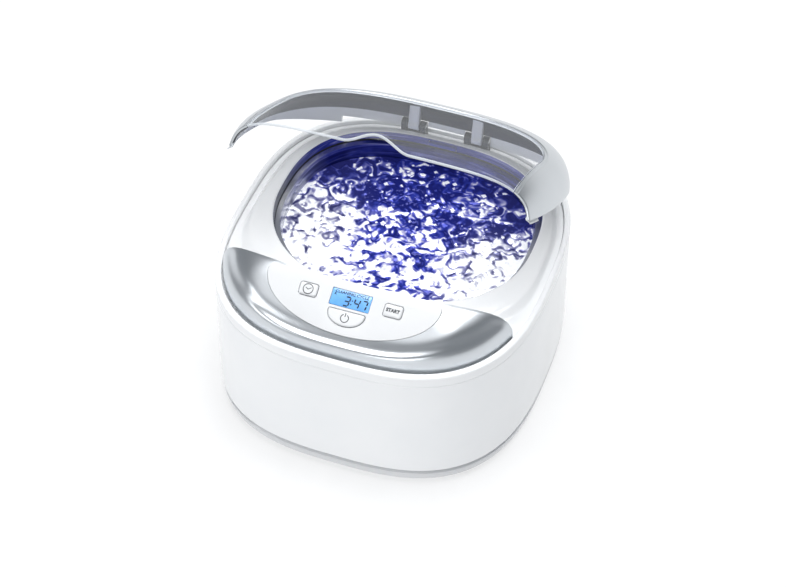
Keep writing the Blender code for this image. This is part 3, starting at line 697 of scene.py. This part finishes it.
def ripple(x, y):
    """Height of the shaken water's surface."""
    spot = Vector((x * 0.085, y * 0.085, 0.0))
    swell = noise.noise(spot) * 0.9
    warp = noise.noise_vector(spot * 1.7) * 0.55
    chop = 1 - abs(noise.noise(spot * 2.6 + warp)) * 2
    fine = noise.noise(spot * 6.0 + warp * 2) * 0.3
    distance = math.hypot(x, y - TANK_Y - 6)
    rings = 0.32 * math.sin(distance * 0.95) * math.exp(-distance / 60)
    return swell * 0.5 + chop * 0.62 + fine + rings


def water():
    noise.seed_set(RIPPLE_SEED)  # without it, noise_vector differs at each run
    count, steps = 320, 96
    rings = []
    for k in range(steps + 1):
        share = 1.0 - k / (steps + 0.5)
        ring = tank_ring(WATER_SIZE[0] * share, WATER_SIZE[1] * share, WATER_Z, count)
        calm = ease((1 - share) * 12 + 0.1)
        rings.append([(x, y, z + ripple(x, y) * 0.85 * calm) for x, y, z in ring])
    points, faces = skin(rings, caps=False)
    faces.append(tuple(steps * count + i for i in range(count)))
    depth = tank_ring(WATER_SIZE[0] - 0.3, WATER_SIZE[1] - 0.3, WATER_Z - 3.0, count)
    floor = len(points)
    points += depth
    for i in range(count):
        j = (i + 1) % count
        faces.append((i, j, floor + j, floor + i))
    faces.append(tuple(floor + i for i in range(count)))
    piece("water_surface", points, faces, WATER, "root")


# ------------------------------------------------------------------- console

def console_surface(x, y):
    """Dome cut by the sloping face, with a valley and a rolled bead along its rim."""
    reach = dome_reach(x, y)
    dome = dome_height(x, y)
    step = 0.4
    rise_x = dome_reach(x + step, y) - dome_reach(x - step, y)
    rise_y = dome_reach(x, y + step) - dome_reach(x, y - step)
    slope = math.hypot(rise_x, rise_y) / (2 * step)
    inset = max(0.0, (1 - reach) / max(slope, 1e-4))
    face = FACE_Z + (y - FACE_Y) * math.tan(FACE_TILT)
    soft = 3.0
    blend = max(0.0, soft - abs(dome - face)) / soft
    base_z = min(dome, face) - blend * blend * soft / 4
    valley = VALLEY_DEPTH * math.exp(-((inset - VALLEY_INSET) / VALLEY_WIDTH) ** 2)
    fade = ease((arch_y(x) - y) / 5.0)
    return max(base_z - valley * fade, DOME_FOOT)


def console():
    columns, rows = 150, 54
    end = tip_x(-GAP)
    tip = math.atan2(outline_y(end) - 0.5 - MID_Y, end)
    sections = []
    for i in range(columns + 1):
        share = 2 * i / columns - 1
        bearing = math.pi / 2 + (math.pi / 2 + tip) * share
        c, s = -math.cos(bearing), -math.sin(bearing)
        reach = (abs(c / DOME[0]) ** BODY_POWER + abs(s / DOME[1]) ** BODY_POWER) ** (-1 / BODY_POWER)
        outer_x, outer_y = reach * c, MID_Y + reach * s
        rear_x = (end - 0.7) * 0.5 * (share + math.sin(math.pi / 2 * share))
        rear_y = arch_y(rear_x) - GAP
        section = [(rear_x, rear_y, DECK_FLOOR + GAP)]
        for k in range(rows + 1):
            f = 1 - (1 - k / rows) ** 2.2
            x, y = rear_x + (outer_x - rear_x) * f, rear_y + (outer_y - rear_y) * f
            drop = 0.35 * (1 - ease(k / 2.0)) if k < 2 else 0.0
            section.append((x, y, console_surface(x, y) - drop))
        section.append((outer_x, outer_y, DECK_FLOOR + GAP))
        sections.append(section)
    points, faces = skin(sections)
    made = piece("console_shell", points, faces, SILVER, "root",
                 stands_for=["console_panel"], slot="silver_plastic")
    carve(made, "plate_pocket", prism(face_outline(GAP), -1.5, 9.0), FACE)
    smooth(made, 40)


def prism(outline, low, high):
    shape = bmesh.new()
    rows = [[shape.verts.new((x, y, z)) for x, y in outline] for z in (low, high)]
    for i in range(len(outline)):
        j = (i + 1) % len(outline)
        shape.faces.new((rows[0][i], rows[0][j], rows[1][j], rows[1][i]))
    shape.faces.new(rows[0][::-1])
    shape.faces.new(rows[1])
    return shape


def dee(half, top, drop, corner, bend, points, steps):
    """Outline straight on top with round corners, and bellied below."""
    outline = []
    for i in range(points + 1):
        turn = math.pi * i / points
        outline.append((-half * math.cos(turn), top - corner - (drop - corner) * math.sin(turn) ** bend))
    for centre, start in ((half - corner, 0.0), (corner - half, math.pi / 2)):
        for i in range(1, steps + 1):
            turn = start + math.pi / 2 * i / steps
            outline.append((centre + corner * math.cos(turn), top - corner + corner * math.sin(turn)))
    return outline[:-1]


def face_outline(margin):
    return dee(53.2 + margin, -0.8 + margin, 32.0 + 2 * margin, 3.6, 1.0, 96, 10)


def half_moon(margin):
    return dee(11.2 + margin, -18.4 + margin, 9.0 + 2 * margin, 1.0 + max(0.0, margin), 0.92, 44, 5)


def key_outline(x, margin):
    return box_outline(5.5 + margin, 3.75 + margin, x, KEY_V, 1.5 + margin, 8)


def box_outline(half_x, half_v, x, v, corner, steps=5):
    outline = []
    for quarter, (sx, sv) in enumerate(((1, 1), (-1, 1), (-1, -1), (1, -1))):
        for i in range(steps + 1):
            turn = math.pi / 2 * (quarter + i / steps)
            outline.append((x + sx * (half_x - corner) + corner * math.cos(turn),
                            v + sv * (half_v - corner) + corner * math.sin(turn)))
    return outline


def inward(outline, by):
    """An outline moved inwards by a length, along each point's normal."""
    moved = []
    count = len(outline)
    for i, (x, y) in enumerate(outline):
        ax, ay = outline[i - 1]
        bx, end_y = outline[(i + 1) % count]
        dx, dy = bx - ax, end_y - ay
        length = math.hypot(dx, dy) or 1.0
        moved.append((x - dy / length * by, y + dx / length * by))
    return moved


def slab(name, outline, profile, look, body, crown=0.0, slot=None, stands_for=()):
    """A flat piece on the face: the outline moved inwards by each step of a profile."""
    rings = [[(x, y, z) for x, y in inward(outline, by)] for by, z in profile]
    if crown:
        cx = sum(p[0] for p in outline) / len(outline)
        cy = sum(p[1] for p in outline) / len(outline)
        last = rings[-1]
        for k in range(1, 6):
            t = k / 6
            rings.append([
                (x + (cx - x) * t, y + (cy - y) * t, z + crown * (1 - (1 - t) ** 2)) for x, y, z in last
            ])
    points, faces = skin(rings)
    return piece(name, points, faces, look, body, FACE, stands_for=stands_for, slot=slot)


def control_face():
    outline = face_outline(0.0)
    profile = [(0.0, -1.2), (0.0, -0.1), (0.06, 0.1), (0.2, 0.24), (0.42, 0.3)]
    plate = slab("control_face", outline, profile, PLATE_WHITE, "root", stands_for=["control_plate"],
                 slot="white_plastic")
    slot_gap = GAP + 0.12
    holes = {
        "timer": key_outline(-KEY_X, slot_gap),
        "start": key_outline(KEY_X, slot_gap),
        "power": half_moon(slot_gap),
        "screen": box_outline(12.25, 5.15, 0, -11.4, 0.3),
    }
    for name, edge in holes.items():
        carve(plate, name + "_hole", prism(edge, -3.0, 3.0), FACE)
    smooth(plate, 30)

    screen = box_outline(11.95, 4.85, 0, -11.4, 0.25)
    slab("screen_pane", screen, [(0.0, -0.9), (0.0, 0.02), (0.06, 0.12), (0.16, 0.15)], SCREEN, "root",
         slot="display", stands_for=["display_window"])

    profile = [(0.0, -3.6), (0.0, 0.3), (0.07, 0.75), (0.25, 1.12), (0.55, 1.38), (0.95, 1.5), (1.3, KEY_TOP)]
    keys = {"timer": key_outline(-KEY_X, 0.0), "start": key_outline(KEY_X, 0.0), "power": half_moon(0.0)}
    for name, edge in keys.items():
        slab(name + "_key_cap", edge, profile, KEY_WHITE, name + "_key", 0.06,
             "white_plastic", [name + "_button"])


def flat_mark(name, loops, low, high, look, body):
    """Printed marks: closed outlines with a little thickness, on the face."""
    points, faces = [], []
    for loop in loops:
        start = len(points)
        count = len(loop)
        points += [(x, y, low) for x, y in loop] + [(x, y, high) for x, y in loop]
        for i in range(count):
            j = (i + 1) % count
            faces.append((start + i, start + j, start + count + j, start + count + i))
        faces.append(tuple(start + i for i in range(count))[::-1])
        faces.append(tuple(start + count + i for i in range(count)))
    return piece(name, points, faces, look, body, FACE)


def stroke(path, width):
    """Outline of a line of constant width through points."""
    left, right = [], []
    for i, (x, y) in enumerate(path):
        ax, ay = path[max(0, i - 1)]
        bx, by = path[min(len(path) - 1, i + 1)]
        dx, dy = bx - ax, by - ay
        length = math.hypot(dx, dy)
        nx, ny = -dy / length * width / 2, dx / length * width / 2
        left.append((x + nx, y + ny))
        right.append((x - nx, y - ny))
    return right + left[::-1]


def arc(x, y, radius, start, end, steps=40):
    return [
        (x + radius * math.cos(math.radians(start + (end - start) * i / steps)),
         y + radius * math.sin(math.radians(start + (end - start) * i / steps)))
        for i in range(steps + 1)
    ]


SEGMENTS = {"3": "abgcd", "4": "fgbc", "7": "abc"}


def digit(character, x, v, width, height, line):
    """Seven-segment digit, standing on (x, v) at its lower left."""
    mid, gap = height / 2, line * 0.62
    runs = {
        "a": ((0, height), (width, height)), "b": ((width, height), (width, mid)),
        "c": ((width, mid), (width, 0)), "d": ((0, 0), (width, 0)), "e": ((0, mid), (0, 0)),
        "f": ((0, height), (0, mid)), "g": ((0, mid), (width, mid)),
    }
    loops = []
    for key in SEGMENTS[character]:
        (x0, y0), (x1, y1) = runs[key]
        length = math.hypot(x1 - x0, y1 - y0)
        ux, uy = (x1 - x0) / length, (y1 - y0) / length
        ends = [(x0 + ux * gap, y0 + uy * gap), (x1 - ux * gap, y1 - uy * gap)]
        (sx, sy), (ex, ey) = ends
        half = line / 2
        nx, ny = -uy * half, ux * half
        loop = [
            (sx - ux * half, sy - uy * half), (sx + nx, sy + ny), (ex + nx, ey + ny),
            (ex + ux * half, ey + uy * half), (ex - nx, ey - ny), (sx - nx, sy - ny),
        ]
        loops.append([(x + px + (v + py - v) * DIGIT_LEAN, v + py) for px, py in loop][::-1])
    return loops


def legends():
    loops = []
    for character, x in (("3", -3.9), ("4", 2.1), ("7", 6.6)):
        loops += digit(character, x, -15.4, 3.0, 5.4, 0.86)
    for v in (-13.9, -11.7):
        loops.append(box_outline(0.36, 0.36, 0.55 + (v + 15.3) * DIGIT_LEAN, v, 0.1, 2))
    loops.append(box_outline(0.35, 0.5, -9.9, -9.4, 0.1, 2))
    loops.append(box_outline(0.75, 0.14, -9.9, -10.1, 0.05, 2))
    flat_mark("screen_digits", loops, 0.10, 0.19, LCD_INK, "root")

    low, high = KEY_TOP - 0.01, KEY_TOP + 0.09
    hands = [
        stroke([(-KEY_X, KEY_V - 0.3), (-KEY_X - 1.6, KEY_V + 0.7)], 0.42),
        stroke([(-KEY_X - 0.1, KEY_V - 0.35), (-KEY_X + 1.9, KEY_V + 1.0)], 0.42),
    ]
    flat_mark("clock_mark", ring_loops(-KEY_X, KEY_V, 2.95, 0.44) + hands, low, high, INK, "timer_key")
    power = [stroke(arc(0.0, -22.9, 2.35, 118, 422, 48), 0.5), stroke([(0.0, -22.0), (0.0, -19.75)], 0.5)]
    flat_mark("power_mark", power, low, high, INK, "power_key")
    lettering("start_mark", "START", KEY_X, KEY_V, 8.3, 2.25, KEY_TOP, INK, "start_key", 0.05)
    lettering("screen_text", "CLEANING CYCLE", 0.0, -8.1, 20.5, 1.75, 0.11, LCD_INK, "root", 0.02)


def ring_loops(x, y, radius, width):
    """A full ring as two half strokes."""
    return [
        stroke(arc(x, y, radius, -1, 181, 40), width),
        stroke(arc(x, y, radius, 179, 361, 40), width),
    ]


def lettering(name, words, x, v, width, height, lift, look, body, weight):
    """Words centred on (x, v) and drawn out to a width and a height."""
    curve = bpy.data.curves.new(name + "_curve", "FONT")
    curve.body = words
    curve.size = 1.0
    curve.align_x, curve.align_y = "CENTER", "CENTER"
    curve.extrude = 0.02
    curve.offset = weight
    carrier = bpy.data.objects.new(name + "_carrier", curve)
    bpy.context.scene.collection.objects.link(carrier)
    bpy.context.view_layer.update()
    graph = bpy.context.evaluated_depsgraph_get()
    mesh = bpy.data.meshes.new_from_object(carrier.evaluated_get(graph))
    bpy.data.objects.remove(carrier)
    spots = [vertex.co for vertex in mesh.vertices]
    wide = max(spot.x for spot in spots) - min(spot.x for spot in spots)
    tall = max(spot.y for spot in spots) - min(spot.y for spot in spots)
    points = [
        (x + spot.x * width / wide, v + spot.y * height / tall, lift + (0.1 if spot.z > 0 else 0.0))
        for spot in spots
    ]
    faces = [tuple(polygon.vertices) for polygon in mesh.polygons]
    piece(name, points, faces, look, body, FACE)


# ----------------------------------------------------------------------- lid

def shell_points(grid, thickness, insets):
    """Outer and inner points of a shell over a grid, eased in by an inset at each point."""
    grid = np.array(grid, float)
    along = np.gradient(grid, axis=0)
    across = np.gradient(grid, axis=1)
    normal = np.cross(along, across)
    normal /= np.maximum(np.linalg.norm(normal, axis=2, keepdims=True), 1e-9)
    if normal[..., 2].sum() < 0:
        normal = -normal
    insets = np.array(insets, float)[..., None]
    return grid - normal * insets, grid - normal * (thickness - insets)


# (distance, inset) that rounds the edge round the window and the front edge at the tips.
WINDOW_EDGE = [(0.0, 0.85), (0.12, 0.55), (0.35, 0.42), (1.5, 0.42), (1.62, 0.25), (1.8, 0.08), (2.1, 0.0)]
FRONT_EDGE = [(0.9, 0.0), (0.55, 0.06), (0.28, 0.25), (0.08, 0.55), (0.0, 0.95)]


def hem_height(y):
    """Lower edge of the lid: it rises along the sides, towards the front tips."""
    return DOME_FOOT + HEM_RISE * ease((90.0 - y) / 72.0)


def hem_share(start, end):
    """How far along a line, in plan, the dome comes down to the hem."""
    low, high = 0.5, 1.0
    for _ in range(30):
        middle = (low + high) / 2
        x, y = start[0] + (end[0] - start[0]) * middle, start[1] + (end[1] - start[1]) * middle
        low, high = (middle, high) if dome_height(x, y) > hem_height(y) else (low, middle)
    return low


def lid_stations():
    """(window point, rim point, share along the side) around the frame, left tip to right tip."""
    side, back = 30, 110
    stations = []
    start = outline_y(tip_x(GAP))
    for i in range(side):
        a = (i / side) ** 1.15
        y = start + a * (MID_Y - start)
        x = -DOME[0] * (1 - abs((y - MID_Y) / DOME[1]) ** BODY_POWER) ** (1 / BODY_POWER)
        stations.append(((-WINDOW_HALF, WINDOW_TIP_Y + a * (MID_Y - WINDOW_TIP_Y)), (x, y), a))
    for i in range(back + 1):
        turn = math.pi * (1 - i / back)
        c, s = math.cos(turn), math.sin(turn)
        window = (
            abs(c / WINDOW_HALF) ** WINDOW_POWER + abs(s / WINDOW_DEPTH) ** WINDOW_POWER
        ) ** (-1 / WINDOW_POWER)
        rim = (abs(c / DOME[0]) ** BODY_POWER + abs(s / DOME[2]) ** BODY_POWER) ** (-1 / BODY_POWER)
        stations.append(((window * c, MID_Y + window * s), (rim * c, MID_Y + rim * s), 1.0))
    for (wx, wy), (rx, ry), a in stations[:side][::-1]:
        stations.append(((-wx, wy), (-rx, ry), a))
    return stations


def lid_section(window, rim, a, shift):
    """One line of the lid's grid, from the window out to the hem, with an inset at each point."""
    (wx, wy), (rx, ry) = window, rim
    rows = 40
    length = math.hypot(rx - wx, ry - wy)
    shares = [(distance / length, inset) for distance, inset in WINDOW_EDGE]
    first = shares[-1][0]
    shares += [(first + (1 - first) * (1 - (1 - k / rows) ** 2.4), 0.0) for k in range(1, rows + 1)]
    weight = max(0.0, 1 - a / TIP_CUT) ** 3
    last = hem_share(window, rim)
    line, insets = [], []
    for f, inset in shares:
        f = f if f <= first else first + (f - first) * (last - first) / (1 - first)
        x, y = wx + (rx - wx) * f, wy + (ry - wy) * f
        y += (arch_y(x) + GAP - y) * weight + shift
        flare = LID_FLARE * ease((y + 45.0) / 55.0) * ease((66.0 - y) / 40.0) * f ** 3 * x / DOME[0]
        line.append((x + flare, y, max(dome_height(x, y), hem_height(y))))
        insets.append(inset)
    x, y, z = line[-1]
    for turn in (20, 45, 70, 88):
        t = math.radians(turn)
        line.append((x, y, z - 0.1 - 0.45 * math.sin(t)))
        insets.append(HEM_ROUND * (1 - math.cos(t)))
    return line, insets


def lid_band():
    stations = lid_stations()
    runs = [(stations[0], shift, inset) for shift, inset in FRONT_EDGE[::-1]]
    for station in stations[1:-1]:
        runs.append((station, FRONT_EDGE[0][0] * max(0.0, 1 - station[2] / TIP_CUT) ** 3, 0.0))
    runs += [(stations[-1], shift, inset) for shift, inset in FRONT_EDGE]
    grid, inset_rows = [], []
    for (window, rim, a), shift, least in runs:
        line, insets = lid_section(window, rim, a, shift)
        grid.append(line)
        inset_rows.append([max(inset, least) for inset in insets])
    outer, inner = shell_points(grid, LID_SHELL, inset_rows)
    rings = []
    for top, under in zip(outer, inner):
        rings.append([tuple(p) for p in top] + [tuple(p) for p in under[::-1]])
    points, faces = skin(rings)
    count = len(rings[0])
    half = count // 2
    # Inner faces take the lid's near-black painted shade, and those near the hem the lighter hem grey.
    indices = []
    for face in faces:
        place = [v % count for v in face]
        inside = len(face) == 4 and all(half <= p < count for p in place)
        low = inside and max(count - 1 - p for p in place) - len(WINDOW_EDGE) > HEM_ROW
        indices.append(2 if low else int(inside))
    return points, faces, indices


def lid_frame():
    points, faces, indices = lid_band()
    hood = piece("lid_hood", points, faces, [LID_WHITE, LID_INSIDE_SHADE, LID_HEM], "lid", OPEN_LID, indices,
                 stands_for=["lid_frame"], slot="lid_plastic")
    half = BRACKET_HALF + 0.7
    for x in (-ARM_X, ARM_X):
        cutter(hood, "hinge_notch", (x - half, 88.0, 80.0), (x + half, 110.0, 104.0), OPEN_LID)
    cutter(hood, "hinge_middle", (-13.0, 88.0, 80.0), (13.0, 110.0, 100.6), OPEN_LID)
    cutter(hood, "rear_hem_cut", (-66.0, 84.0, 80.0), (66.0, 110.0, 97.6), OPEN_LID)
    smooth(hood, 42)
    for x, name in ((-ARM_X, "left"), (ARM_X, "right")):
        piece("hinge_arm_" + name, *rounded_bar(x, ARM_HALF), TAB_GREY, "lid", OPEN_LID)


def rounded_bar(x, half):
    """Arm of the lid: a tab up the back wall that ends in the knuckle round the pin."""
    knuckle = 3.6
    side = []
    for turn in range(-200, 21, 20):
        t = math.radians(turn)
        side.append((HINGE_Y + knuckle * math.cos(t), HINGE_Z + knuckle * math.sin(t)))
    side += [
        (99.2, 104.0), (97.6, 108.0), (95.0, 112.0), (92.2, 114.8),
        (89.8, 115.2), (91.8, 111.0), (93.4, 104.0),
    ]
    rings = []
    for across, inset in ((-1.0, 0.5), (-0.93, 0.15), (-0.85, 0.0), (0.85, 0.0), (0.93, 0.15), (1.0, 0.5)):
        ring = inward(side, inset)
        rings.append([(x + half * across, y, z) for y, z in ring])
    return skin(rings)


def grip_height(x, y):
    """Hood of the finger grip on the front edge of the pane."""
    half_x, half_y, middle_y, rise = 19.5, 21.0, -63.0, 7.2
    reach = math.hypot(x / half_x, (y - middle_y) / half_y)
    if reach >= 1:
        return 0.0
    return rise * (0.5 + 0.5 * math.cos(math.pi * reach)) ** 0.85


def pane():
    columns, rows = 120, 70
    edge = [(0.0, 0.75), (0.1, 0.45), (0.3, 0.18), (0.7, 0.0)]
    half = WINDOW_HALF - GAP
    xs = [(-half + d, e) for d, e in edge]
    inner = half - edge[-1][0]
    middle = [(-inner * math.cos(math.pi * i / columns), 0.0) for i in range(1, columns)]
    xs = xs + middle + [(-x, e) for x, e in xs[::-1]]
    grid, insets = [], []
    for x, ex in xs:
        front = arch_y(x) + GAP
        across = min(1.0, abs(x) / (half + 0.005))
        back = MID_Y + (WINDOW_DEPTH - GAP) * (1 - across ** WINDOW_POWER) ** (1 / WINDOW_POWER)
        line, row = [], []
        ys = [(front + d, e) for d, e in edge]
        low, high = front + edge[-1][0], back - edge[-1][0]
        ys += [(low + (high - low) * (k / rows) ** 1.35, 0.0) for k in range(1, rows)]
        ys += [(back - d, e) for d, e in edge[::-1]]
        for y, ey in ys:
            line.append((x, y, dome_height(x, y) + grip_height(x, y)))
            row.append(max(ex, ey))
        grid.append(line)
        insets.append(row)
    outer, under = shell_points(grid, PANE_SHELL, insets)
    across, along = outer.shape[:2]
    points = [tuple(p) for p in outer.reshape(-1, 3)] + [tuple(p) for p in under.reshape(-1, 3)]
    shift = across * along
    faces, indices = [], []
    for i in range(across - 1):
        for j in range(along - 1):
            a, b, c, d = i * along + j, (i + 1) * along + j, (i + 1) * along + j + 1, i * along + j + 1
            faces.append((a, b, c, d))
            faces.append((shift + d, shift + c, shift + b, shift + a))
            indices += [int(i < 2 or i > across - 4 or j < 2 or j > along - 4)] * 2
    border = [(i, 0) for i in range(across - 1)] + [(across - 1, j) for j in range(along - 1)]
    border += [(i, along - 1) for i in range(across - 1, 0, -1)] + [(0, j) for j in range(along - 1, 0, -1)]
    for (i, j), (k, m) in zip(border, border[1:] + border[:1]):
        a, b = i * along + j, k * along + m
        faces.append((a, b, shift + b, shift + a))
        indices.append(1)
    piece("lid_pane", points, faces, [CLEAR, PANE_EDGE], "lid", OPEN_LID, indices,
          stands_for=["lid_window"], slot="clear_plastic")


# ------------------------------------------------------- CAD pieces that stay

def dress():
    looks = {
        "capacitor": BLACK, "control_board": BOARD, "display_cable": GREY_WIRE,
        "electrode": BRASS, "heat_sink": ALUMINIUM,
        "hinge_bracket_left": LID_INSIDE_SHADE, "hinge_bracket_right": LID_INSIDE_SHADE,
        "hinge_pin_left": STEEL, "hinge_pin_right": STEEL,
        "inlet_pin_left": BRASS, "inlet_pin_right": BRASS,
        "lamp_board": BOARD, "lamp_lens": LAMP, "lcd_module": BLACK, "mains_inlet": BLACK,
        "mains_leads": GREY_WIRE, "piezo_ring_lower": CERAMIC, "piezo_ring_upper": CERAMIC,
        "power_board": BOARD, "power_transistor": BLACK, "tact_switch_power": BLACK,
        "tact_switch_start": BLACK, "tact_switch_timer": BLACK, "transducer_back_mass": STEEL,
        "transducer_bolt": STEEL, "transducer_front_mass": ALUMINIUM, "transducer_leads": RED_WIRE,
        "transformer_core": STEEL, "transformer_winding": WINDING,
    }
    for corner in ("front_left", "front_right", "rear_left", "rear_right"):
        looks["foot_" + corner] = FOOT_RUBBER
        looks["base_screw_" + corner] = STEEL
    for name, look in looks.items():
        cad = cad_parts[name]
        for place in cad.material_slots:
            place.material = look
        if not cad.material_slots:
            cad.data.materials.append(look)


studio()
casing()
base()
deck()
bath()
water()
console()
control_face()
legends()
lid_frame()
pane()
dress()
